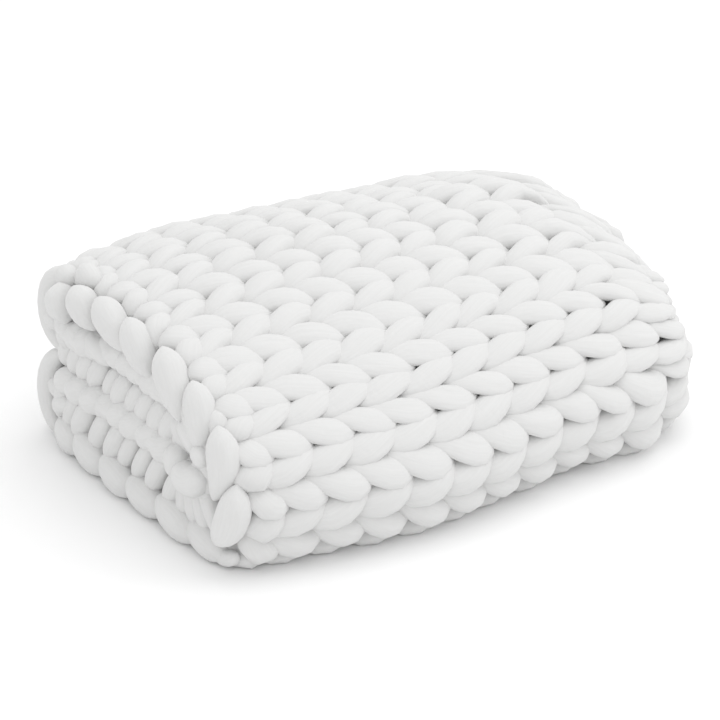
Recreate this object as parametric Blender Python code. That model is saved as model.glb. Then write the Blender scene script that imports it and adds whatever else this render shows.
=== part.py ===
"""A weighted blanket: a chunky stockinette knit of stuffed tube yarn, folded in four.

The knit is one continuous sheet. It is folded once across its rows, which makes the round
fold at +X, and then in half round the front, so that two plies lie above and two below the
slit that opens at the back (+Y). The bound-off end and the cast-on end lie at -X.
Raw coordinates run from the knitted end (x = 0) towards the fold and from the front (y = 0)
to the back; the finished mesh is moved so that its origin is the middle of its resting face.
"""
import math

import bpy
import numpy as np

# ---- driving dimensions, in metres ----------------------------------------------------------
PLY_DEPTH = 0.132          # two plies, from the outer face to the slit between the halves
PLY_THICK = 0.0625         # one ply of looped tube yarn
SLIT_HEIGHT = 0.134        # height of the slit between the lower and the upper half
SLIT_HALF = 0.003          # half of the slit's opening
SLIT_TIP = 0.145           # from the foremost line to the blind end of the slit
NOSE_HEIGHT = 0.068        # height of the foremost line of the folded front
HEEL = 0.062               # reach of the rounding from the foremost line down to the floor
PEAK_Y = 0.315             # where the top is highest
BACK_HEIGHT = 0.190        # height of the rearmost line of the upper half
BACK_FULLNESS = 2.2        # superellipse power of the top as it falls to the back
WRAP = 0.052               # radius of the side edges curled in at the back
WRAP_PAST = math.radians(70)        # how far the curl goes on past the rearmost line
WRAP_CORE = 0.2            # the curl's hollow middle, as a share of its radius
FOLD_START = 0.652         # x where the end fold begins
FOLD_REACH = 0.112         # how far the end fold reaches beyond it
MIDDLE = (0.3649, 0.2372)  # raw x and y of the middle of the object

# Sections across the folded blanket: the foremost and rearmost line, the height of the top
# and the superellipse power of the shoulder between the front and the top.
SECTIONS = (
    dict(x=0.00, front=-0.002, back=0.460, crown=0.255, fullness=2.00),
    dict(x=0.15, front=-0.031, back=0.498, crown=0.266, fullness=1.64),
    dict(x=0.30, front=-0.045, back=0.504, crown=0.275, fullness=1.52),
    dict(x=0.45, front=-0.030, back=0.517, crown=0.267, fullness=1.74),
    dict(x=0.60, front=-0.020, back=0.516, crown=0.263, fullness=1.84),
    dict(x=0.78, front=0.004, back=0.472, crown=0.256, fullness=1.81),
)

# ---- the knit -------------------------------------------------------------------------------
WALE_FIRST, WALE_LAST = -7, 11      # columns of stitches; number 0 lies at the front floor line
WALE_START = 0.043                  # girth from the floor line to the middle of wale 0
WALE_PITCH = 0.0786
WALE_TIGHTER = 0.00117              # each wale towards the back is a little narrower
GIRTH_SECTION = 0.30                # the section whose girth those widths are measured on
FLAT_WALES = (-5.5, -0.5)           # the wales between these lie flat on the floor
ROW_START = 0.0566                  # x of the first row's stitch points
ROW_PITCH = 0.0585
ROW_LOOSER = 0.0004                 # each row towards the fold is a little longer
SIDE_LOOP = 0.35                    # the side loop beyond the last wale, in wales
SIDE_DIP = 0.012                    # how far its edge is rounded off
RELIEF_ROWS = 13                    # rows whose stitches show, the last ones on the end fold
FIRST_THIRD = -2                    # the stitches begin two thirds of a row before row 0
LEG_SLANT = 0.85                    # rows that a stitch leg rises across half a wale
LEG_DIP = 0.009                     # how far the ends and sides of a leg lie below its crest
POINT_DIP = 0.020                   # depth of the hole at the point of each stitch
CROTCH_DIP = 0.014                  # depth where the legs of neighbouring stitches part
RELIEF_FADE = (0.45, 0.80)          # shares of the end fold's turn over which stitches fade out
INNER_TAKE_UP = 0.77                # girth of the inner ply against the outer one
PLAIN_FOLD_STEPS, PLAIN_PLY_STEPS = 3, 5    # lines past the stitches, round the fold and beyond
HIDDEN_SPACING = dict(flat=2.6, fold=0.6)   # between lines of the hidden side, in rows
HIDDEN_INSET = 0.012                # how far the hidden side stops short of the sheet's ends
FINE = 40                           # samples along one stretch of a section's outline

# The rolled, chained edge of each ply: how far each line stands out past the ply's end, its
# depth below the outer face, and the share of the scallop between neighbouring chain loops.
CHAINED_EDGE = (
    dict(out=0.000, depth=0.060, scallop=0.0),
    dict(out=0.018, depth=0.054, scallop=0.5),
    dict(out=0.028, depth=0.040, scallop=1.0),
    dict(out=0.029, depth=0.022, scallop=1.0),
    dict(out=0.020, depth=0.007, scallop=0.5),
)
CHAIN_SCALLOP = 0.018
CHAIN_SLANT = 0.4                   # wales that a chain loop leans across the depth of a ply
INNER_EDGE_X = 0.012                # the inner ply's end lies this far inside the outer one's


def section_value(name, x):
    """One column of the SECTIONS table at x, on a smooth curve through its rows."""
    stations = np.array([row["x"] for row in SECTIONS])
    values = np.array([row[name] for row in SECTIONS])
    slopes = np.gradient(values, stations)
    x = min(max(x, stations[0]), stations[-1])
    i = min(max(int(np.searchsorted(stations, x)) - 1, 0), len(stations) - 2)
    step = stations[i + 1] - stations[i]
    u = (x - stations[i]) / step
    return ((1 + 2 * u) * (1 - u) ** 2 * values[i] + u * (1 - u) ** 2 * step * slopes[i]
            + u * u * (3 - 2 * u) * values[i + 1] + u * u * (u - 1) * step * slopes[i + 1])


def section_outline(x):
    """The outer outline at x, from the lower side edge at the back round to the upper one.

    Returns its points (y, z), the index of the front floor line and the index of the
    rearmost point of the upper half.
    """
    front, back = section_value("front", x), section_value("back", x)
    crown, power = section_value("crown", x), 2 / section_value("fullness", x)
    back_power = 2 / BACK_FULLNESS
    low = SLIT_HEIGHT / 2
    quarter = math.pi / 2
    points = [(back - WRAP + WRAP * math.sin(a), low - low * math.cos(a))
              for a in np.linspace(quarter + WRAP_PAST, 0, FINE)[:-1]]
    points += [(y, 0.0) for y in np.linspace(back - WRAP, front + HEEL, FINE)[:-1]]
    floor_line = len(points)
    points += [(front + HEEL * (1 - math.sin(a)), NOSE_HEIGHT * (1 - math.cos(a)))
               for a in np.linspace(0, quarter, FINE)[:-1]]
    points += [(PEAK_Y - (PEAK_Y - front) * math.cos(a) ** power,
                NOSE_HEIGHT + (crown - NOSE_HEIGHT) * math.sin(a) ** power)
               for a in np.linspace(0, quarter, 2 * FINE)[:-1]]
    points += [(PEAK_Y + (back - PEAK_Y) * math.cos(a) ** back_power,
                BACK_HEIGHT + (crown - BACK_HEIGHT) * math.sin(a) ** back_power)
               for a in np.linspace(quarter, 0, 2 * FINE)[:-1]]
    rearmost = len(points)
    points += [(back - WRAP + WRAP * math.cos(a),
                BACK_HEIGHT - (BACK_HEIGHT - SLIT_HEIGHT - SLIT_HALF) * math.sin(a))
               for a in np.linspace(0, WRAP_PAST, FINE)]
    return np.array(points), floor_line, rearmost


def section_layers(x):
    """Girth, outer outline, line between the plies and slit line at x, point for point."""
    outer, floor_line, rearmost = section_outline(x)
    front, back = section_value("front", x), section_value("back", x)
    steps = np.linalg.norm(np.diff(outer, axis=0), axis=1)
    girth = np.concatenate([[0.0], np.cumsum(steps)])
    girth -= girth[floor_line]
    # The slit runs straight in from the back; the line between the plies lies halfway to it.
    blind = np.flatnonzero(outer[:, 0] < front + SLIT_TIP)
    angle = np.interp(girth, girth[blind[[0, -1]]], (-math.pi / 2, math.pi / 2))
    slit = np.column_stack([np.maximum(outer[:, 0], front + SLIT_TIP) - SLIT_HALF * np.cos(angle),
                            SLIT_HEIGHT + SLIT_HALF * np.sin(angle)])
    between = (outer + slit) / 2
    # At the back the outer ply curls round the inner one's side edge.
    inside = np.flatnonzero(outer[:, 0] <= back - WRAP)
    for curled, start in ((slice(0, inside[0]), inside[0]),
                          (slice(inside[-1] + 1, None), inside[-1])):
        centre = between[start] - WRAP_CORE * (outer[start] - between[start])
        between[curled] = centre + WRAP_CORE * (outer[curled] - between[start])
        slit[curled] = slit[start]
    return girth, girth[rearmost], outer, between, slit


def wale_girth(wale):
    """Girth from the front floor line to a place between wales, on the reference section."""
    narrowing = WALE_TIGHTER * wale * wale if wale > 0 else 0.0
    return WALE_START + WALE_PITCH * wale - narrowing


def row_path(row):
    """Distance along the knit, from the bound-off end, of a place between rows."""
    return ROW_START + ROW_PITCH * row + ROW_LOOSER * row * row


REFERENCE_TOP = section_layers(GIRTH_SECTION)[1]
REFERENCE_FLOOR = section_layers(GIRTH_SECTION)[0][0]
FOLD_TURN = math.pi * (FOLD_REACH + PLY_DEPTH / 2) / 2      # length of the knit round the fold
INNER_START = FOLD_START + FOLD_TURN                        # where the inner ply begins
SHEET_END = FOLD_START * 2 + FOLD_TURN - INNER_EDGE_X       # the cast-on end


def sheet_point(wale, path, depth):
    """A point of the knit: its place across and along the sheet, and below its outer face."""
    share = depth / PLY_DEPTH
    turn = min(max((path - FOLD_START) / FOLD_TURN, 0.0), 1.0) * math.pi
    past = max(path - FOLD_START - FOLD_TURN, 0.0)
    x = min(path, FOLD_START) + (FOLD_REACH - depth) * math.sin(turn) - past
    layer = 0.5 - (0.5 - share) * math.cos(turn)
    girth, whole, outer, between, slit = section_layers(x)
    take_up = 1 - (1 - INNER_TAKE_UP) * math.sin(min(turn, math.pi / 2))
    centre = (wale_girth(WALE_FIRST) + wale_girth(WALE_LAST)) / 2
    place = centre + (wale_girth(wale) - centre) * take_up
    place *= whole / REFERENCE_TOP if place > 0 else girth[0] / REFERENCE_FLOOR
    if layer <= 0.5:
        near, far, mix = outer, between, 2 * layer
    else:
        near, far, mix = between, slit, 2 * layer - 1
    y, z = ((1 - mix) * np.interp(place, girth, near[:, k]) + mix * np.interp(place, girth, far[:, k])
            for k in (0, 1))
    return x - MIDDLE[0], y - MIDDLE[1], z


def make_columns():
    """The lines along the knit: (place between wales, share of the half wale), four a wale."""
    columns = [(WALE_FIRST - 0.5 - SIDE_LOOP, 1.0)]
    for wale in range(WALE_FIRST, WALE_LAST + 1):
        columns += [(wale - 0.5, 1.0), (wale - 0.25, 0.5), (wale, 0.0), (wale + 0.25, 0.5)]
    columns += [(WALE_LAST + 0.5, 1.0), (WALE_LAST + 0.5 + SIDE_LOOP, 1.0)]
    return columns


def relief(wale, share, phase, path):
    """How far a stitch's face lies below its crest; phase is 0 between two rows' legs."""
    if FLAT_WALES[0] <= wale <= FLAT_WALES[1] and path < FOLD_START:
        return 0.0
    fade_start, fade_end = (FOLD_START + turned * FOLD_TURN for turned in RELIEF_FADE)
    strength = min(max((fade_end - path) / (fade_end - fade_start), 0.0), 1.0)
    if not WALE_FIRST - 0.5 <= wale <= WALE_LAST + 0.5:
        return SIDE_DIP * strength
    if phase == 0:
        return {0.0: POINT_DIP, 0.5: LEG_DIP, 1.0: CROTCH_DIP}[share] * strength
    return 0.0 if share == 0.5 else LEG_DIP * strength


def edge_lines(columns, end, direction):
    """The rolled edge of a ply, as lines of points; each wale's chain loop stands out."""
    lines = []
    for step in CHAINED_EDGE if direction < 0 else reversed(CHAINED_EDGE):
        line = []
        lean = CHAIN_SLANT * step["depth"] / PLY_THICK
        for wale, _ in columns:
            wave = (1 - math.cos(2 * math.pi * (wale - 0.5 + lean))) / 2
            out = step["out"] - CHAIN_SCALLOP * step["scallop"] * (1 - wave)
            line.append(sheet_point(wale, end + direction * out, step["depth"]))
        lines.append(line)
    return lines


def make_outer_side(columns):
    """The outer side from the bound-off edge to the cast-on edge: its lines, and their paths."""
    lines = edge_lines(columns, 0.0, -1)
    lines.append([sheet_point(wale, 0.0, 0.0) for wale, _ in columns])
    paths = [0.0] * len(lines)
    for third in range(FIRST_THIRD, 3 * RELIEF_ROWS + 1):
        phase = third % 3
        line = []
        for wale, share in columns:
            easing = min((third - FIRST_THIRD) / 3, (3 * RELIEF_ROWS - third) / 3, 1.0)
            path = row_path(third / 3 - LEG_SLANT * share * easing)
            line.append(sheet_point(wale, path, relief(wale, share, phase, path)))
        lines.append(line)
        paths.append(row_path(third / 3))
    plain = list(np.linspace(paths[-1], INNER_START, PLAIN_FOLD_STEPS + 1)[1:])
    plain += list(np.linspace(INNER_START, SHEET_END, PLAIN_PLY_STEPS + 1)[1:])
    for path in plain:
        lines.append([sheet_point(wale, path, 0.0) for wale, _ in columns])
        paths.append(path)
    lines += edge_lines(columns, SHEET_END, 1)
    paths += [SHEET_END] * len(CHAINED_EDGE)
    return lines, paths


def make_hidden_side(columns, paths):
    """The same sheet one ply below, on every other column and on a few of the outer lines."""
    hidden_columns = list(range(0, len(columns), 2))
    hidden_lines = [0]
    for index, path in enumerate(paths):
        in_fold = FOLD_START - ROW_PITCH < path < INNER_START + ROW_PITCH
        spacing = HIDDEN_SPACING["fold" if in_fold else "flat"] * ROW_PITCH
        if path - paths[hidden_lines[-1]] > spacing and path < SHEET_END - spacing:
            hidden_lines.append(index)
    hidden_lines.append(len(paths) - 1)
    hidden = []
    for index in hidden_lines:
        path = min(max(paths[index], HIDDEN_INSET), SHEET_END - HIDDEN_INSET)
        hidden.append([sheet_point(columns[c][0], path, PLY_THICK) for c in hidden_columns])
    return hidden, hidden_lines, hidden_columns


def make_faces(tall, wide, hidden_lines, hidden_columns):
    """The faces of both sides and of the sheet's four edges, all facing out."""
    def outer(line, column):
        return line * wide + column

    def hidden(line, column):
        return tall * wide + line * len(hidden_columns) + column

    last_line, last_column = len(hidden_lines) - 1, len(hidden_columns) - 1
    faces = []
    for i in range(tall - 1):
        for c in range(wide - 1):
            faces.append((outer(i + 1, c), outer(i + 1, c + 1), outer(i, c + 1), outer(i, c)))
    for i in range(last_line):
        for c in range(last_column):
            faces.append((hidden(i, c + 1), hidden(i + 1, c + 1), hidden(i + 1, c), hidden(i, c)))
    for i in range(last_line):
        run = range(hidden_lines[i], hidden_lines[i + 1] + 1)
        faces.append((hidden(i, 0), hidden(i + 1, 0)) + tuple(outer(k, 0) for k in reversed(run)))
        faces.append((hidden(i + 1, last_column), hidden(i, last_column))
                     + tuple(outer(k, wide - 1) for k in run))
    for c in range(last_column):
        run = range(hidden_columns[c], hidden_columns[c + 1] + 1)
        faces.append((hidden(0, c + 1), hidden(0, c)) + tuple(outer(0, k) for k in run))
        faces.append((hidden(last_line, c), hidden(last_line, c + 1))
                     + tuple(outer(tall - 1, k) for k in reversed(run)))
    return faces


def make_blanket():
    columns = make_columns()
    lines, paths = make_outer_side(columns)
    hidden, hidden_lines, hidden_columns = make_hidden_side(columns, paths)
    vertices = [point for line in lines + hidden for point in line]
    faces = make_faces(len(lines), len(columns), hidden_lines, hidden_columns)
    mesh = bpy.data.meshes.new("blanket")
    mesh.from_pydata(vertices, [], faces)
    mesh.validate()
    blanket = bpy.data.objects.new("blanket", mesh)
    bpy.context.collection.objects.link(blanket)
    return blanket


def make_yarn_material():
    """Off-white brushed cotton tube yarn."""
    material = bpy.data.materials.new("white yarn")
    material.use_nodes = True
    shader = material.node_tree.nodes["Principled BSDF"]
    shader.inputs["Base Color"].default_value = (0.86, 0.86, 0.85, 1.0)
    shader.inputs["Roughness"].default_value = 0.95
    shader.inputs["Metallic"].default_value = 0.0
    return material


for leftover in list(bpy.data.objects):
    bpy.data.objects.remove(leftover, do_unlink=True)
blanket = make_blanket()
blanket.data.materials.append(make_yarn_material())
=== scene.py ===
"""The looks of a chunky hand-knitted weighted blanket, folded in four.

The frame gives the folded blanket as one solid. Here its yarn is laid strand by strand on the
same folded form. A point of the knit has three sheet coordinates, in metres: u across the
wales (columns of stitches), v along the knit from the bound-off end, and w, the depth below
the sheet's outer face. `Form.lay` carries them into the folded blanket.
"""
import math

import bpy
import numpy as np
from mathutils import Matrix, Vector


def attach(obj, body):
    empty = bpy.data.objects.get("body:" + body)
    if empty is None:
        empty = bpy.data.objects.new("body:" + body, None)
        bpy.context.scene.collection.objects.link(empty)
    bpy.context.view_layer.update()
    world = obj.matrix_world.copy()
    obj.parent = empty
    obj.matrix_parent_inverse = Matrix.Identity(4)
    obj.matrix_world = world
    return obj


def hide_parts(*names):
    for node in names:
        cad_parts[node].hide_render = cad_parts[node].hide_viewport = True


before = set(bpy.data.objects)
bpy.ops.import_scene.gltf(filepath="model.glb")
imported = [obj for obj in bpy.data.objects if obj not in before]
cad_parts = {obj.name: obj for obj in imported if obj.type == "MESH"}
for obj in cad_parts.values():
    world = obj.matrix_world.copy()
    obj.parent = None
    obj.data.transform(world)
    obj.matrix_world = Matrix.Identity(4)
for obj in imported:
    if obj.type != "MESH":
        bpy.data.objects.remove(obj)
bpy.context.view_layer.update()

# ---- the folded form, in metres: the solid's sizes, but for heel, fall and fold reach -------
PLY_DEPTH = 0.132          # two plies, from the outer face to the slit between the halves
PLY_THICK = 0.0625         # one ply of looped tube yarn
SLIT_HEIGHT = 0.134        # height of the slit between the lower and the upper half
SLIT_HALF = 0.003          # half of the slit's opening
SLIT_TIP = 0.145           # from the foremost line to the blind end of the slit
NOSE_HEIGHT = 0.068        # height of the foremost line of the folded front
HEEL = 0.048               # reach of the rounding from the foremost line down to the floor
PEAK_Y = 0.315             # where the top is highest
BACK_HEIGHT = 0.190        # height of the rearmost line of the upper half
WRAP = 0.052               # radius of the side edges curled in at the back
WRAP_PAST = math.radians(70)    # how far the curl goes on past the rearmost line
WRAP_CORE = 0.2            # the curl's hollow middle, as a share of its radius
FOLD_START = 0.652         # x where the end fold begins
FOLD_REACH = 0.106         # how far the end fold reaches beyond it
MIDDLE = (0.3649, 0.2372)  # raw x and y of the middle of the object

# Sections across the folded blanket: the foremost and rearmost line, the height of the top, and
# the superellipse powers of the shoulder from the front to the top and of the fall to the back.
SECTIONS = (
    dict(x=0.00, front=-0.002, back=0.460, crown=0.255, fullness=2.00, fall=2.8),
    dict(x=0.15, front=-0.031, back=0.498, crown=0.266, fullness=1.64, fall=2.5),
    dict(x=0.30, front=-0.045, back=0.504, crown=0.275, fullness=1.52, fall=1.9),
    dict(x=0.45, front=-0.030, back=0.517, crown=0.267, fullness=1.74, fall=1.7),
    dict(x=0.60, front=-0.020, back=0.516, crown=0.263, fullness=1.84, fall=1.5),
    dict(x=0.78, front=0.004, back=0.472, crown=0.256, fullness=1.81, fall=1.5),
)

# ---- the knit -------------------------------------------------------------------------------
WALE_FIRST, WALE_LAST = -7, 11      # columns of stitches; number 0 lies at the front floor line
WALE_START = 0.033                  # u of the middle of wale 0
WALE_PITCH = 0.0786                 # width of the wales before number 0
WALE_TIGHTER = 0.00117              # past it each wale towards the back is a little narrower
GIRTH_SECTION = 0.30                # the section whose girth u is measured on
ROW_START = 0.0566                  # v of the first row's stitch points
ROW_PITCH = 0.0585                  # length of the first row
ROW_LOOSER = 0.0004                 # each row towards the fold is a little longer
EVEN_FROM = 10                      # from this row on they are all alike
INNER_TAKE_UP = 0.77                # girth of the inner ply against the outer one
INNER_EDGE_X = 0.012                # the inner ply's end lies this far inside the outer one's
FOLD_FROM, INNER_FROM = 9, 15       # first row of the piece at the fold, and of the inner ply's
FLOOR_GAP = 0.0005                  # the yarn's lowest points above the floor

# ---- the yarn in a stitch -------------------------------------------------------------------
LOOP_SWAY = 0.25                    # how far a loop's legs sway across a wale, in wales
LOOP_REACH = 0.96                   # half the height of a loop, in rows
LEG_BACK = 0.76                     # from a stitch's point back to its middle, in rows
LOOP_DEPTH = 0.0165                 # how far the legs stand in front of the loop's middle
LEG_TUCK = dict(upper=0.0070, lower=0.003)    # how far a leg's tip at the fold side is raised
YARN_SIDE = 0.0198                  # half width of a leg seen from the front
YARN_FACE = 0.0172                  # half thickness of a leg
YARN_FULL = 2.2                     # superellipse power of its cross-section: 2 is an ellipse
YARN_PINCH = 0.50                   # how much thinner the yarn is where loops cross
BLUNT_END = 0.26                    # how much fuller the upper leg is towards its raised tip
EDGE_IN = 0.016                     # how far the first row's legs end before the edge
EDGE_REACH = 0.10                   # share of that row's loops that is left beyond their legs
EDGE_SINK = 0.022                   # how far those loops turn down at the edge
UNEVEN_FROM, UNEVEN_TO = 7, 11      # rows over which the stitches grow less even and deeper
UNEVEN_MORE, DEEPER = 2.2, 0.12     # how much less even and how much deeper they grow
YARN_SHIFT = 0.37                   # each strand's pattern starts this much further along

# How much the stitches vary: the thickness and sway of a leg as shares, its shift along the knit
# and its depth in metres, each times a normal draw that is cut off at the limit.
UNEVEN = dict(limit=1.8, thickness=0.05, sway=0.07, shift=0.0028, depth=0.0012)

RING = 20                           # points round the yarn
STEPS = 26                          # rings of points to a stitch
LEAF_STEPS = 18                     # and to a single leaf
LEAF_CAP = 0.85                     # reach of a leaf's round end, in half widths
LEAF_FULL = 2.6                     # superellipse power of a leaf: 2 is an ellipse
LEAF_POINT = dict(round=0.5, lens=0.8)        # how pointed its ends are: 0.5 is round
LEAF_TIP = 0.08                     # angle in radians from its tip to the first ring of points
TAPER_FROM = 0.3                    # share of its length where a taper changes nothing
SEED = 11                           # of the draws; each group of pieces adds its own number

# ---- the left end ---------------------------------------------------------------------------
# Leaves of the bound-off chain, one a row, from the back over the top and round the front to
# the floor. A leaf's outer end lies at a wale, a depth and a place v along the knit. It leans
# some wales to its inner end, which has a depth and v of its own, and is slimmer by its taper.
CHAIN = (
    dict(wale=8.90, depth=0.040, v=-0.008, lean=0.13, deep=0.057, v_deep=-0.008, taper=0.1),
    dict(wale=7.90, depth=0.020, v=-0.010, lean=0.35, deep=0.042, v_deep=-0.008, taper=0.3),
    dict(wale=7.10, depth=0.018, v=-0.003, lean=0.75, deep=0.045, v_deep=-0.003, taper=0.4),
    dict(wale=6.05, depth=0.018, v=-0.001, lean=0.60, deep=0.053, v_deep=-0.003, taper=0.3),
    dict(wale=4.85, depth=0.017, v=0.002, lean=0.79, deep=0.061, v_deep=-0.006, taper=0.35),
    dict(wale=3.80, depth=0.019, v=0.007, lean=1.30, deep=0.068, v_deep=0.000, taper=0.4),
    dict(wale=2.60, depth=0.019, v=0.006, lean=1.50, deep=0.051, v_deep=0.000, taper=0.5),
    dict(wale=1.34, depth=0.021, v=0.004, lean=1.05, deep=0.029, v_deep=-0.004, taper=0.1),
    dict(wale=-0.40, depth=0.018, v=0.008, lean=0.75, deep=0.026, v_deep=0.008, taper=0.1),
    dict(wale=-1.35, depth=0.018, v=0.005, lean=0.85, deep=0.029, v_deep=0.005, taper=0.1),
    dict(wale=-2.45, depth=0.018, v=0.003, lean=0.70, deep=0.026, v_deep=0.003, taper=0.1),
    dict(wale=-3.40, depth=0.018, v=0.002, lean=0.60, deep=0.029, v_deep=0.002, taper=0.1),
    dict(wale=-4.35, depth=0.018, v=0.005, lean=0.60, deep=0.031, v_deep=0.005, taper=0.1),
    dict(wale=-5.25, depth=0.018, v=0.006, lean=0.45, deep=0.029, v_deep=0.006, taper=0.1),
)
CHAIN_HALF = 0.0215                 # half width of a leaf
CHAIN_VARIES = 0.03                 # how much it varies, as a share

# Short loops between the chain and the inner ply's edge, and the loops over that edge. They
# stand side by side from the first wale to the last, leaning from one depth to another.
SHORT_LOOPS = dict(first=-6.1, last=0.4, near=0.042, far=0.084, v=0.009, lean=0.34, half=0.0160)
EDGE_LOOPS = dict(first=-7.9, last=0.6, near=0.010, far=-0.020, v=-0.002, lean=0.33, half=0.0165)
LOOP_SPACING = 0.5                  # wales from one loop to the next
LOOP_VARIES = dict(wale=0.05, half=0.07)      # how much its place varies, and its width

# The thick smooth band at the inner ply's end: its depth at some wales.
BAND = (
    dict(wale=-8.0, depth=0.038),
    dict(wale=-6.5, depth=0.032),
    dict(wale=-5.0, depth=0.025),
    dict(wale=-2.5, depth=0.031),
    dict(wale=0.0, depth=0.048),
    dict(wale=3.0, depth=0.055),
    dict(wale=4.8, depth=0.070),
    dict(wale=6.3, depth=0.054),
    dict(wale=8.4, depth=0.054),
    dict(wale=9.7, depth=0.044),
    dict(wale=11.0, depth=0.036),
)
BAND_PAST = (1.0, 1.8)              # wales that it runs on past the first and the last one
BAND_OUT = 0.003                    # the band's middle past the end of the inner ply
BAND_HALF = 0.0172                  # its half width
BAND_STEPS = 160                    # points along it

# The band's width at both tips as a share, and the wales over which that would grow by one.
BAND_TIP = dict(share=0.2, wales=0.3)

# The swells along the band: half width, reach to both sides in wales, lean into the depth,
# spacing in wales, and the wales left free at both ends.
BEAD = dict(half=0.0188, reach=0.22, lean=0.006, spacing=0.6, free=(0.4, 0.2))
BEAD_VARIES = dict(wale=0.06, half=0.04, v=0.0010)      # how much its place varies, and its width

# The loops along both side edges, where the yarn turns back into the next row. They stand out
# some wales, run from a start to an end in rows and between two depths, and bow out and into
# the depth, the last by an amount that varies.
SIDE_LOOPS = dict(out=0.12, start=-0.65, end=0.55, near=0.038, far=0.018, half=0.0165,
                  bow_out=0.010, bow_deep=-0.004, varies=0.001)

# Single strands, from one wale and depth to another, at a place v from the edge. A strand bows
# into the depth by its bow. These lie on the bound-off edge.
EDGE_STRANDS = (
    # the smooth yarn round the upper back corner, and the small loops beside it
    dict(start=9.40, end=12.25, v=0.008, depth=0.016, deep=-0.011, bow=0.009, half=0.0175),
    dict(start=9.36, end=9.05, v=0.010, depth=0.015, deep=0.021, bow=0.0, half=0.0150),
    dict(start=8.27, end=8.04, v=0.014, depth=-0.002, deep=0.006, bow=0.0, half=0.0140),
    dict(start=11.34, end=11.64, v=0.002, depth=0.019, deep=0.033, bow=0.0, half=0.0130),
    # the same at the lower back corner
    dict(start=-6.20, end=-8.05, v=0.008, depth=0.006, deep=0.016, bow=-0.003, half=0.0165),
    dict(start=-6.40, end=-5.50, v=0.002, depth=0.042, deep=0.068, bow=0.0, half=0.0125),
    dict(start=-7.15, end=-6.66, v=0.006, depth=0.038, deep=0.062, bow=0.0, half=0.0130),
    # the last small loop at the floor, and one beside the chain
    dict(start=-0.55, end=-0.05, v=0.009, depth=0.013, deep=0.012, bow=0.0, half=0.0110),
    dict(start=3.10, end=2.85, v=0.016, depth=0.029, deep=0.033, bow=0.0, half=0.0150),
)

# And these lie past the inner ply's end.
BAND_STRANDS = (
    # the leaves over the band at the back
    dict(start=12.20, end=11.80, v=0.008, depth=0.030, deep=0.016, bow=0.0, half=0.0125),
    dict(start=11.13, end=10.42, v=0.008, depth=0.045, deep=0.029, bow=0.0, half=0.0150),
    dict(start=9.88, end=9.12, v=0.008, depth=0.049, deep=0.042, bow=0.0, half=0.0165),
    # the knot in the band, where it turns round at the front
    dict(start=3.94, end=2.54, v=0.008, depth=0.041, deep=0.047, bow=0.0, half=0.0170),
    dict(start=-2.07, end=-2.10, v=0.012, depth=0.021, deep=0.033, bow=0.0, half=0.0190),
    dict(start=-0.72, end=0.61, v=0.018, depth=0.034, deep=0.051, bow=0.0, half=0.0200),
    dict(start=2.38, end=2.18, v=0.018, depth=0.061, deep=0.067, bow=0.0, half=0.0120),
)

# The back corners of the left end are drawn in.
CORNER_WALES = ((8.0, 10.0), (-5.0, -6.6))    # wales where this starts and where it is full
CORNER_TUCK, CORNER_LENGTH = 0.011, 0.15      # how far in, and the x at which it has faded


# ---- the folded form ------------------------------------------------------------------------
def section_value(name, x):
    """One column of the SECTIONS table at x, on a smooth curve through its rows."""
    stations = np.array([row["x"] for row in SECTIONS])
    values = np.array([row[name] for row in SECTIONS])
    slopes = np.gradient(values, stations)
    x = min(max(x, stations[0]), stations[-1])
    i = min(max(int(np.searchsorted(stations, x)) - 1, 0), len(stations) - 2)
    step = stations[i + 1] - stations[i]
    t = (x - stations[i]) / step
    return ((1 + 2 * t) * (1 - t) ** 2 * values[i] + t * (1 - t) ** 2 * step * slopes[i]
            + t * t * (3 - 2 * t) * values[i + 1] + t * t * (t - 1) * step * slopes[i + 1])


def section_outline(x, fine=160):
    """The outer outline at x, from the lower side edge at the back round to the upper one.

    With it come the numbers of two of its points: at the front floor line and the rearmost line.
    """
    front, back = section_value("front", x), section_value("back", x)
    crown, power = section_value("crown", x), 2 / section_value("fullness", x)
    back_power = 2 / section_value("fall", x)
    low = SLIT_HEIGHT / 2
    quarter = math.pi / 2
    curl = np.linspace(quarter + WRAP_PAST, 0, fine)[:-1]
    heel = np.linspace(0, quarter, fine)[:-1]
    rise = np.linspace(0, quarter, 2 * fine)[:-1]
    fall = np.linspace(quarter, 0, 2 * fine)[:-1]
    tuck = np.linspace(0, WRAP_PAST, fine)
    floor = np.linspace(back - WRAP, front + HEEL, fine)[:-1]
    parts = [
        np.column_stack([back - WRAP + WRAP * np.sin(curl), low - low * np.cos(curl)]),
        np.column_stack([floor, 0 * floor]),
        np.column_stack([front + HEEL * (1 - np.sin(heel)), NOSE_HEIGHT * (1 - np.cos(heel))]),
        np.column_stack([PEAK_Y - (PEAK_Y - front) * np.cos(rise) ** power,
                         NOSE_HEIGHT + (crown - NOSE_HEIGHT) * np.sin(rise) ** power]),
        np.column_stack([PEAK_Y + (back - PEAK_Y) * np.cos(fall) ** back_power,
                         BACK_HEIGHT + (crown - BACK_HEIGHT) * np.sin(fall) ** back_power]),
        np.column_stack([back - WRAP + WRAP * np.cos(tuck),
                         BACK_HEIGHT - (BACK_HEIGHT - SLIT_HEIGHT - SLIT_HALF) * np.sin(tuck)]),
    ]
    floor_line = len(parts[0]) + len(parts[1])
    rearmost = sum(len(part) for part in parts[:5])
    return np.concatenate(parts), floor_line, rearmost


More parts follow.
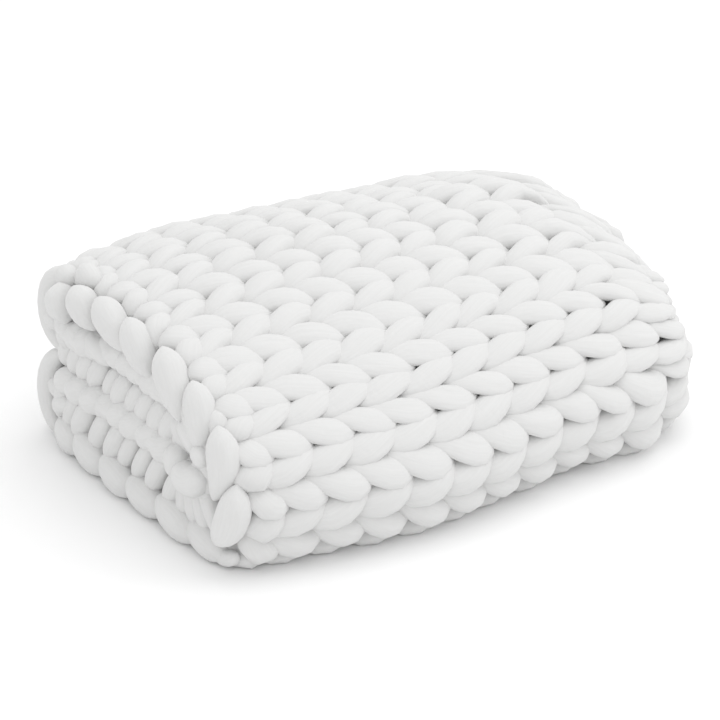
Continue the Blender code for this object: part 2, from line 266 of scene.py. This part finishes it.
def section_layers(x):
    """Girth, girth at the rearmost line, and the outer, middle and slit lines at x."""
    outer, floor_line, rearmost = section_outline(x)
    front, back = section_value("front", x), section_value("back", x)
    girth = np.concatenate([[0.0], np.cumsum(np.linalg.norm(np.diff(outer, axis=0), axis=1))])
    girth -= girth[floor_line]
    blind = np.flatnonzero(outer[:, 0] < front + SLIT_TIP)
    angle = np.interp(girth, girth[blind[[0, -1]]], (-math.pi / 2, math.pi / 2))
    slit = np.column_stack([np.maximum(outer[:, 0], front + SLIT_TIP) - SLIT_HALF * np.cos(angle),
                            SLIT_HEIGHT + SLIT_HALF * np.sin(angle)])
    between = (outer + slit) / 2
    flat = np.flatnonzero(outer[:, 0] <= back - WRAP)
    # In both curled edges the middle line is a small copy of the outer one; the slit line stops.
    for curled, start in ((slice(0, flat[0]), flat[0]), (slice(flat[-1] + 1, None), flat[-1])):
        centre = between[start] - WRAP_CORE * (outer[start] - between[start])
        between[curled] = centre + WRAP_CORE * (outer[curled] - between[start])
        slit[curled] = slit[start]
    return girth, girth[rearmost], outer, between, slit


class Form:
    """The folded blanket as a table over x and u, so that many points are carried at once."""

    X_STEP, X_BEFORE, X_PAST = 0.006, 0.05, 0.02     # the table reaches past both ends of the form
    U_STEP, U_PAST = 0.003, 0.03                     # and past both side edges
    LAST_CELL = 1.001                                # from its number of lines to the last place

    def __init__(self):
        girth, rearmost, *_ = section_layers(GIRTH_SECTION)
        low_edge = girth[0]
        self.xs = np.arange(-self.X_BEFORE, FOLD_START + FOLD_REACH + self.X_PAST, self.X_STEP)
        self.us = np.arange(low_edge - self.U_PAST, girth[-1] + self.U_PAST, self.U_STEP)
        rows = []
        for x in self.xs:
            girth, back, *layers = section_layers(x)
            place = np.where(self.us > 0, self.us * back / rearmost, self.us * girth[0] / low_edge)
            rows.append([[np.interp(place, girth, layer[:, k]) for k in (0, 1)]
                         for layer in layers])
        self.table = np.array(rows)      # x, layer, y or z, u
        self.turn_length = math.pi * (FOLD_REACH + PLY_DEPTH / 2) / 2
        self.sheet_end = 2 * FOLD_START + self.turn_length - INNER_EDGE_X

    def lay(self, points):
        """Sheet points (u, v, w) as points of the folded blanket, in the frame's metres.

        v runs along the outer ply, turns round the end fold and comes back along the inner one.
        The layer is 0 at the outer face, 0.5 between the plies and 1 at the slit.
        """
        u, v, w = points[:, 0], points[:, 1], points[:, 2]
        turn = np.clip((v - FOLD_START) / self.turn_length, 0, 1) * math.pi
        past = np.maximum(v - FOLD_START - self.turn_length, 0)
        x = np.minimum(v, FOLD_START) + (FOLD_REACH - w) * np.sin(turn) - past
        layer = 0.5 - (0.5 - w / PLY_DEPTH) * np.cos(turn)
        take_up = 1 - (1 - INNER_TAKE_UP) * np.sin(np.minimum(turn, math.pi / 2))
        centre = (wale_u(WALE_FIRST) + wale_u(WALE_LAST)) / 2
        place = centre + (u - centre) * take_up
        # The place in the table: its cell, and how far into the cell.
        gx = np.clip((x - self.xs[0]) / self.X_STEP, 0, len(self.xs) - self.LAST_CELL)
        gu = np.clip((place - self.us[0]) / self.U_STEP, 0, len(self.us) - self.LAST_CELL)
        ix, iu = gx.astype(int), gu.astype(int)
        fx, fu = (gx - ix)[:, None, None], (gu - iu)[:, None, None]
        corners = [[self.table[ix + a, :, :, iu + b] for b in (0, 1)] for a in (0, 1)]
        lines = ((1 - fx) * ((1 - fu) * corners[0][0] + fu * corners[0][1])
                 + fx * ((1 - fu) * corners[1][0] + fu * corners[1][1]))
        mix = (2 * layer)[:, None]
        upper = lines[:, 0] + (lines[:, 1] - lines[:, 0]) * mix
        lower = lines[:, 1] + (lines[:, 2] - lines[:, 1]) * (mix - 1)
        yz = np.where(mix <= 1, upper, lower)
        tucked = sum(ease(place, *wale_u(wales)) for wales in CORNER_WALES)
        x += CORNER_TUCK * tucked * np.clip(1 - x / CORNER_LENGTH, 0, 1) ** 2
        return np.column_stack([x - MIDDLE[0], yz[:, 0] - MIDDLE[1], yz[:, 1]])


def ease(values, start, full):
    """0 before start and 1 past full, with a smooth rise between them."""
    s = np.clip((values - start) / (full - start), 0, 1)
    return s * s * (3 - 2 * s)


def wale_u(wale):
    """u of a place between wales."""
    wale = np.asarray(wale, dtype=float)
    return WALE_START + WALE_PITCH * wale - WALE_TIGHTER * np.where(wale > 0, wale * wale, 0.0)


def row_v(row):
    """v of a place between rows; past EVEN_FROM the rows no longer grow."""
    even = min(row, EVEN_FROM)
    v = ROW_START + ROW_PITCH * even + ROW_LOOSER * even * even
    return v + (row - even) * (ROW_PITCH + 2 * ROW_LOOSER * EVEN_FROM)


# ---- strands --------------------------------------------------------------------------------
class Strands:
    """A mesh of closed tubes of yarn with round ends, laid on the folded form."""

    def __init__(self, form):
        self.form = form
        self.points, self.yarn, self.faces, self.count = [], [], [], 0

    def add(self, centres, side, face, facing=(0.0, 0.0, 1.0), laid=False):
        """A strand along centres; side and face are its half widths across and along facing.

        The centres are sheet points, and the whole strand is laid on the form, unless they are
        laid already. Each point also keeps its place in the yarn: the length along it and its
        place in the yarn's cross-section, which the fibres of the material follow.
        """
        along = np.gradient(centres, axis=0)
        along /= np.linalg.norm(along, axis=1)[:, None]
        across = np.cross(along, facing)
        across /= np.maximum(np.linalg.norm(across, axis=1), 1e-6)[:, None]
        out = np.cross(across, along)
        angle = np.linspace(0, 2 * math.pi, RING, endpoint=False)
        cos, sin = (np.sign(c) * np.abs(c) ** (2 / YARN_FULL)
                    for c in (np.cos(angle)[None, :], np.sin(angle)[None, :]))
        body = (centres[:, None] + cos[:, :, None] * across[:, None] * side[:, None, None]
                + sin[:, :, None] * out[:, None] * face[:, None, None])
        rings = len(centres)
        steps = np.linalg.norm(np.diff(centres, axis=0), axis=1)
        length = np.concatenate([[0.0], np.cumsum(steps)]) + YARN_SHIFT * len(self.points)
        place = np.stack([np.repeat(length[:, None], RING, 1), cos * side[:, None],
                          sin * face[:, None]], axis=2)
        tips = np.column_stack([length[[0, -1]], np.zeros((2, 2))])
        points = np.concatenate([body.reshape(-1, 3), centres[[0, -1]]])
        self.points.append(points if laid else self.form.lay(points))
        self.yarn += [place.reshape(-1, 3), tips]
        k = np.arange(RING)
        n = (k + 1) % RING
        for i in range(rings - 1):
            a, b = self.count + i * RING, self.count + (i + 1) * RING
            self.faces += np.column_stack([a + k, a + n, b + n, b + k]).tolist()
        first, last = self.count + rings * RING, self.count + rings * RING + 1
        start, end = self.count, self.count + (rings - 1) * RING
        self.faces += np.column_stack([start + n, start + k, np.full(RING, first)]).tolist()
        self.faces += np.column_stack([end + k, end + n, np.full(RING, last)]).tolist()
        self.count += rings * RING + 2

    def make(self, name, material):
        """The mesh object, riding on the frame in place of the solid."""
        laid = np.concatenate(self.points)
        laid[:, 2] = np.maximum(laid[:, 2], FLOOR_GAP)
        mesh = bpy.data.meshes.new(name)
        mesh.from_pydata(laid.tolist(), [], self.faces)
        place = mesh.attributes.new("yarn", "FLOAT_VECTOR", "POINT")
        place.data.foreach_set("vector", np.concatenate(self.yarn).astype(np.float32).ravel())
        mesh.shade_smooth()
        mesh.materials.append(material)
        piece = bpy.data.objects.new(name, mesh)
        bpy.context.collection.objects.link(piece)
        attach(piece, "root")
        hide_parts("blanket")


def course(strands, row, dice):
    """One row of looped yarn across all the wales.

    In every wale the yarn makes one loop. It sways out twice to either side while it goes up
    and down once, and it comes forward in its two legs, which show, and back in between.
    """
    wales = WALE_LAST - WALE_FIRST + 1
    t = np.linspace(0, 2 * math.pi * wales, STEPS * wales + 1)
    place = WALE_FIRST - 0.5 + t / (2 * math.pi)          # wale number, half at the loop's feet
    pitch = wale_u(place + 0.5) - wale_u(place - 0.5)
    sway = LOOP_SWAY * pitch
    legs = t - math.pi                                    # 0 at the head of a wale's loop
    upper = np.sin(legs) > 0
    leg = np.sin(legs) ** 2                               # 1 in the middle of a leg
    stitch = np.clip(np.round(place).astype(int) - WALE_FIRST, 0, wales - 1)
    loose = float(ease(row, UNEVEN_FROM, UNEVEN_TO))
    draws = np.clip(dice.normal(size=(wales, 6)), -UNEVEN["limit"], UNEVEN["limit"])
    wander = (1 + UNEVEN_MORE * loose) * draws
    fat = 1 + UNEVEN["thickness"] * wander[stitch, 0 + upper] * leg
    u = wale_u(place) + sway * np.sin(2 * legs) * (1 + UNEVEN["sway"] * wander[stitch, 2])
    reach = LOOP_REACH * (row_v(row + 0.5) - row_v(row - 0.5))
    first = row == 0
    middle = row_v(row - LEG_BACK)
    if first:
        middle += EDGE_IN
        reach = np.where(np.cos(legs) > 0, EDGE_REACH * reach, reach - EDGE_IN)
    v = middle - reach * np.cos(legs) + UNEVEN["shift"] * wander[stitch, 3 + upper] * leg
    w = PLY_THICK / 2 + (1 + DEEPER * loose) * LOOP_DEPTH * np.cos(2 * legs)
    tuck = np.where(upper, LEG_TUCK["upper"], LEG_TUCK["lower"])
    w += tuck * np.cos(legs) * np.abs(np.sin(legs)) + UNEVEN["depth"] * wander[stitch, 5] * leg
    if first:
        w += EDGE_SINK * np.maximum(np.cos(legs), 0) ** 2
    pinch = 1 - YARN_PINCH * (1 - leg)
    pinch = pinch * (1 - np.where(upper, BLUNT_END, 0.0) * np.cos(legs) * np.abs(np.sin(legs)))
    strands.add(np.column_stack([u, v, w]), YARN_SIDE * pinch * fat, YARN_FACE * pinch)


def leaf(strands, start, end, half, bow=(0.0, 0.0, 0.0), taper=0.0, facing=(1.0, 0.0, 0.0),
         point="round"):
    """A plump leaf of round yarn about the line from start to end, slimmer towards its end.

    The line is laid on the form first, so the yarn stays round where the layers are tight.
    """
    s = np.linspace(0, 1, LEAF_STEPS)[:, None]
    line = strands.form.lay(np.array(start) * (1 - s) + np.array(end) * s
                            + 4 * s * (1 - s) * np.array(bow))
    caps = LEAF_CAP * half * np.array([line[0] - line[1], line[-1] - line[-2]])
    caps /= np.linalg.norm([line[0] - line[1], line[-1] - line[-2]], axis=1)[:, None]
    line = np.concatenate([line[:1] + caps[:1], line, line[-1:] + caps[1:]])
    length = np.concatenate([[0.0], np.cumsum(np.linalg.norm(np.diff(line, axis=0), axis=1))])
    s = (1 - np.cos(np.linspace(LEAF_TIP, math.pi - LEAF_TIP, LEAF_STEPS))) / 2
    centres = np.column_stack([np.interp(s * length[-1], length, line[:, k]) for k in range(3)])
    swell = (1 - np.abs(2 * s - 1) ** LEAF_FULL) ** LEAF_POINT[point]
    swell = half * swell * (1 - taper * (s - TAPER_FROM))
    strands.add(centres, swell, swell, facing, laid=True)


# ---- materials ------------------------------------------------------------------------------
YARN_FINISH = {"Roughness": 0.92, "Specular IOR Level": 0.25, "Sheen Weight": 0.2,
               "Sheen Roughness": 0.6}
FLOOR_FINISH = {"Base Color": (0.93, 0.93, 0.93, 1), "Roughness": 0.9, "Specular IOR Level": 0.1}

# The yarn's relief, from the deepest to the finest: noise with so many cycles to a metre along
# the yarn and around it, and the strength and depth of the bumps that it makes.
YARN_RELIEF = dict(
    lumps=dict(along=22, around=60, detail=2, strength=0.30, depth=0.006),
    folds=dict(along=150, around=45, detail=2, strength=0.20, depth=0.002),
    streaks=dict(along=14, around=420, detail=3, strength=0.10, depth=0.0010),
    fuzz=dict(along=900, around=1400, detail=2, strength=0.12, depth=0.0005),
)

# The streaks also tint it, between two values of their noise and the colours there.
YARN_TINT = ((0.25, (0.66, 0.66, 0.655, 1)), (0.75, (0.69, 0.69, 0.686, 1)))


def plain_material(name, finish):
    """A material with the given values in its shader."""
    material = bpy.data.materials.new(name)
    material.use_nodes = True
    shader = material.node_tree.nodes["Principled BSDF"]
    for socket, value in finish.items():
        shader.inputs[socket].default_value = value
    return material


def yarn_material():
    """Off-white brushed cotton tube: fibre streaks along the yarn, soft creases across it."""
    material = plain_material("white tube yarn", YARN_FINISH)
    nodes, links = material.node_tree.nodes, material.node_tree.links
    shader = nodes["Principled BSDF"]
    place = nodes.new("ShaderNodeAttribute")
    place.attribute_name = "yarn"

    def noise(along, around, detail):
        """Noise in the yarn's own coordinates, along and around it, in cycles to a metre."""
        stretch = nodes.new("ShaderNodeMapping")
        stretch.inputs["Scale"].default_value = (along, around, around)
        node = nodes.new("ShaderNodeTexNoise")
        node.inputs["Scale"].default_value = 1.0
        node.inputs["Detail"].default_value = detail
        links.new(place.outputs["Vector"], stretch.inputs["Vector"])
        links.new(stretch.outputs["Vector"], node.inputs["Vector"])
        return node.outputs["Fac"]

    def bump(height, strength, depth, normal):
        """Bumps of a height, on top of those that a normal already has, if there is one."""
        node = nodes.new("ShaderNodeBump")
        node.inputs["Strength"].default_value = strength
        node.inputs["Distance"].default_value = depth
        links.new(height, node.inputs["Height"])
        if normal is not None:
            links.new(normal, node.inputs["Normal"])
        return node.outputs["Normal"]

    patterns, normal = {}, None
    for name, relief in YARN_RELIEF.items():
        patterns[name] = noise(relief["along"], relief["around"], relief["detail"])
        normal = bump(patterns[name], relief["strength"], relief["depth"], normal)
    links.new(normal, shader.inputs["Normal"])
    tint = nodes.new("ShaderNodeValToRGB")
    for element, (position, color) in zip(tint.color_ramp.elements, YARN_TINT):
        element.position, element.color = position, color
    links.new(patterns["streaks"], tint.inputs["Fac"])
    links.new(tint.outputs["Color"], shader.inputs["Base Color"])
    return material


# ---- pieces ---------------------------------------------------------------------------------
def make_stitches(form, material):
    """All rows of both plies, in a few pieces along the knit."""
    dice = np.random.RandomState(SEED)
    rows = 1
    while row_v(rows - LEG_BACK + LOOP_REACH) < form.sheet_end:
        rows += 1
    groups = (("outer_rows", 0, FOLD_FROM), ("fold_rows", FOLD_FROM, INNER_FROM),
              ("inner_rows", INNER_FROM, rows))
    for name, first, end in groups:
        strands = Strands(form)
        for row in range(first, end):
            course(strands, row, dice)
        strands.make(name, material)


def single_strands(strands, table, v_start):
    """The strands of a table, with their v counted from v_start."""
    for row in table:
        v = v_start + row["v"]
        leaf(strands, (wale_u(row["start"]), v, row["depth"]), (wale_u(row["end"]), v, row["deep"]),
             row["half"], bow=(0.0, 0.0, row["bow"]))


def slanting_loops(strands, dice, loops, v_start):
    """A row of short loops side by side, each leaning over the next."""
    v = v_start + loops["v"]
    for wale in np.arange(loops["first"], loops["last"], LOOP_SPACING):
        wale += LOOP_VARIES["wale"] * dice.normal()
        half = loops["half"] * (1 + LOOP_VARIES["half"] * dice.normal())
        leaf(strands, (wale_u(wale), v, loops["near"]),
             (wale_u(wale + loops["lean"]), v, loops["far"]), half)


def make_bound_off_edge(form, material):
    """The chain of big tilted leaves along the bound-off end, and the short loops behind it."""
    dice = np.random.RandomState(SEED + 1)
    strands = Strands(form)
    for row in CHAIN:
        half = CHAIN_HALF * (1 + CHAIN_VARIES * dice.normal())
        inner = row["wale"] - row["lean"]
        leaf(strands, (wale_u(row["wale"]), row["v"], row["depth"]),
             (wale_u(inner), row["v_deep"], row["deep"]), half, taper=row["taper"], point="lens")
    slanting_loops(strands, dice, SHORT_LOOPS, 0.0)
    single_strands(strands, EDGE_STRANDS, 0.0)
    strands.make("bound_off_chain", material)


def make_cast_on_edge(form, material):
    """The smooth band at the inner ply's end, with the small loops that come over it."""
    dice = np.random.RandomState(SEED + 2)
    strands = Strands(form)
    v = form.sheet_end + BAND_OUT
    s = np.linspace(WALE_FIRST - BAND_PAST[0], WALE_LAST + BAND_PAST[1], BAND_STEPS)
    depth = np.interp(s, [row["wale"] for row in BAND], [row["depth"] for row in BAND])
    from_tip = np.minimum(s - s[0], s[-1] - s)
    half = BAND_HALF * np.minimum(1, from_tip / BAND_TIP["wales"] + BAND_TIP["share"])
    line = form.lay(np.column_stack([wale_u(s), v + 0 * s, depth]))
    strands.add(line, half, half, facing=(1.0, 0.0, 0.0), laid=True)
    for wale in np.arange(s[0] + BEAD["free"][0], s[-1] - BEAD["free"][1], BEAD["spacing"]):
        wale += BEAD_VARIES["wale"] * dice.normal()
        plump = BEAD["half"] * (1 + BEAD_VARIES["half"] * dice.normal())
        deep, place = float(np.interp(wale, s, depth)), v + BEAD_VARIES["v"] * dice.normal()
        leaf(strands, (wale_u(wale + BEAD["reach"]), place, deep - BEAD["lean"]),
             (wale_u(wale - BEAD["reach"]), place, deep + BEAD["lean"]), plump)
    single_strands(strands, BAND_STRANDS, form.sheet_end)
    slanting_loops(strands, dice, EDGE_LOOPS, form.sheet_end)
    strands.make("cast_on_band", material)


def make_side_edges(form, material):
    """The loops along both side edges, where the yarn turns back into the next row."""
    dice = np.random.RandomState(SEED + 3)
    strands = Strands(form)
    loops = SIDE_LOOPS
    row = 1
    while row_v(row + 1) < form.sheet_end:
        for wale, out in ((WALE_FIRST - 0.5, -1), (WALE_LAST + 0.5, 1)):
            u = wale_u(wale + loops["out"] * out)
            bow_deep = loops["bow_deep"] + loops["varies"] * dice.normal()
            leaf(strands, (u, row_v(row + loops["start"]), loops["near"]),
                 (u, row_v(row + loops["end"]), loops["far"]), loops["half"],
                 bow=(loops["bow_out"] * out, 0.0, bow_deep), facing=(0.0, 1.0, 0.0))
        row += 1
    strands.make("side_edge_loops", material)


# ---- camera, floor and light ----------------------------------------------------------------
# The camera as fitted to the photo: its place, its turns in radians, and its focal length and
# the width of the picture in pixels.
CAMERA_AT = (-1.7213 - MIDDLE[0], -2.3406 - MIDDLE[1], 1.7325)
CAMERA_YAW, CAMERA_PITCH, CAMERA_ROLL = 0.6766, 0.4569, 0.0617
FOCAL_PIXELS, PICTURE_PIXELS = 2856, 720
SENSOR = 36.0                       # width of the sensor in mm
FLOOR_HALF = 12.0                   # half width of the floor
WORLD_STRENGTH = 0.92               # of the white light from all around

# Square area lights: where they hang, what they are aimed at, their size and their power in W.
LIGHTS = (
    dict(name="overhead", at=(0.5, 0.3, 3.2), aim=(0, 0, 0), size=3.0, power=31),
    dict(name="right", at=(2.6, -1.6, 1.8), aim=(0, 0, 0.1), size=1.8, power=18),
    dict(name="left", at=(-2.4, -1.4, 1.2), aim=(0, 0, 0.1), size=2.0, power=6),
)


def make_camera():
    """The camera that sees the blanket as the photo does."""
    camera = bpy.data.cameras.new("camera")
    camera.sensor_width = SENSOR
    camera.lens = SENSOR * FOCAL_PIXELS / PICTURE_PIXELS
    viewer = bpy.data.objects.new("camera", camera)
    bpy.context.collection.objects.link(viewer)
    ahead = Vector((math.sin(CAMERA_YAW) * math.cos(CAMERA_PITCH),
                    math.cos(CAMERA_YAW) * math.cos(CAMERA_PITCH), -math.sin(CAMERA_PITCH)))
    level = ahead.cross(Vector((0, 0, 1))).normalized()
    upright = level.cross(ahead)
    c, s = math.cos(CAMERA_ROLL), math.sin(CAMERA_ROLL)
    right, up = c * level + s * upright, -s * level + c * upright
    turn = Matrix((right, up, -ahead)).transposed()
    viewer.matrix_world = Matrix.Translation(CAMERA_AT) @ turn.to_4x4()
    bpy.context.scene.camera = viewer


def make_floor():
    """The plain pale floor that it lies on."""
    half = FLOOR_HALF
    mesh = bpy.data.meshes.new("floor")
    mesh.from_pydata([(-half, -half, 0), (half, -half, 0), (half, half, 0), (-half, half, 0)],
                     [], [(0, 1, 2, 3)])
    mesh.materials.append(plain_material("pale floor", FLOOR_FINISH))
    floor = bpy.data.objects.new("floor", mesh)
    bpy.context.collection.objects.link(floor)


def area_light(name, at, aim, size, power):
    """One area light that points at its aim."""
    light = bpy.data.lights.new(name, "AREA")
    light.size = size
    light.energy = power
    lamp = bpy.data.objects.new(name, light)
    lamp.location = at
    lamp.rotation_mode = "QUATERNION"
    lamp.rotation_quaternion = (Vector(aim) - Vector(at)).to_track_quat("-Z", "Y")
    bpy.context.collection.objects.link(lamp)


def make_light():
    """White light from all around, and the area lights."""
    world = bpy.data.worlds.new("studio")
    world.use_nodes = True
    background = world.node_tree.nodes["Background"]
    background.inputs["Color"].default_value = (1, 1, 1, 1)
    background.inputs["Strength"].default_value = WORLD_STRENGTH
    bpy.context.scene.world = world
    for light in LIGHTS:
        area_light(**light)
    bpy.context.scene.view_settings.view_transform = "Standard"


form = Form()
make_camera()
make_floor()
make_light()
yarn = yarn_material()
make_stitches(form, yarn)
make_bound_off_edge(form, yarn)
make_cast_on_edge(form, yarn)
make_side_edges(form, yarn)
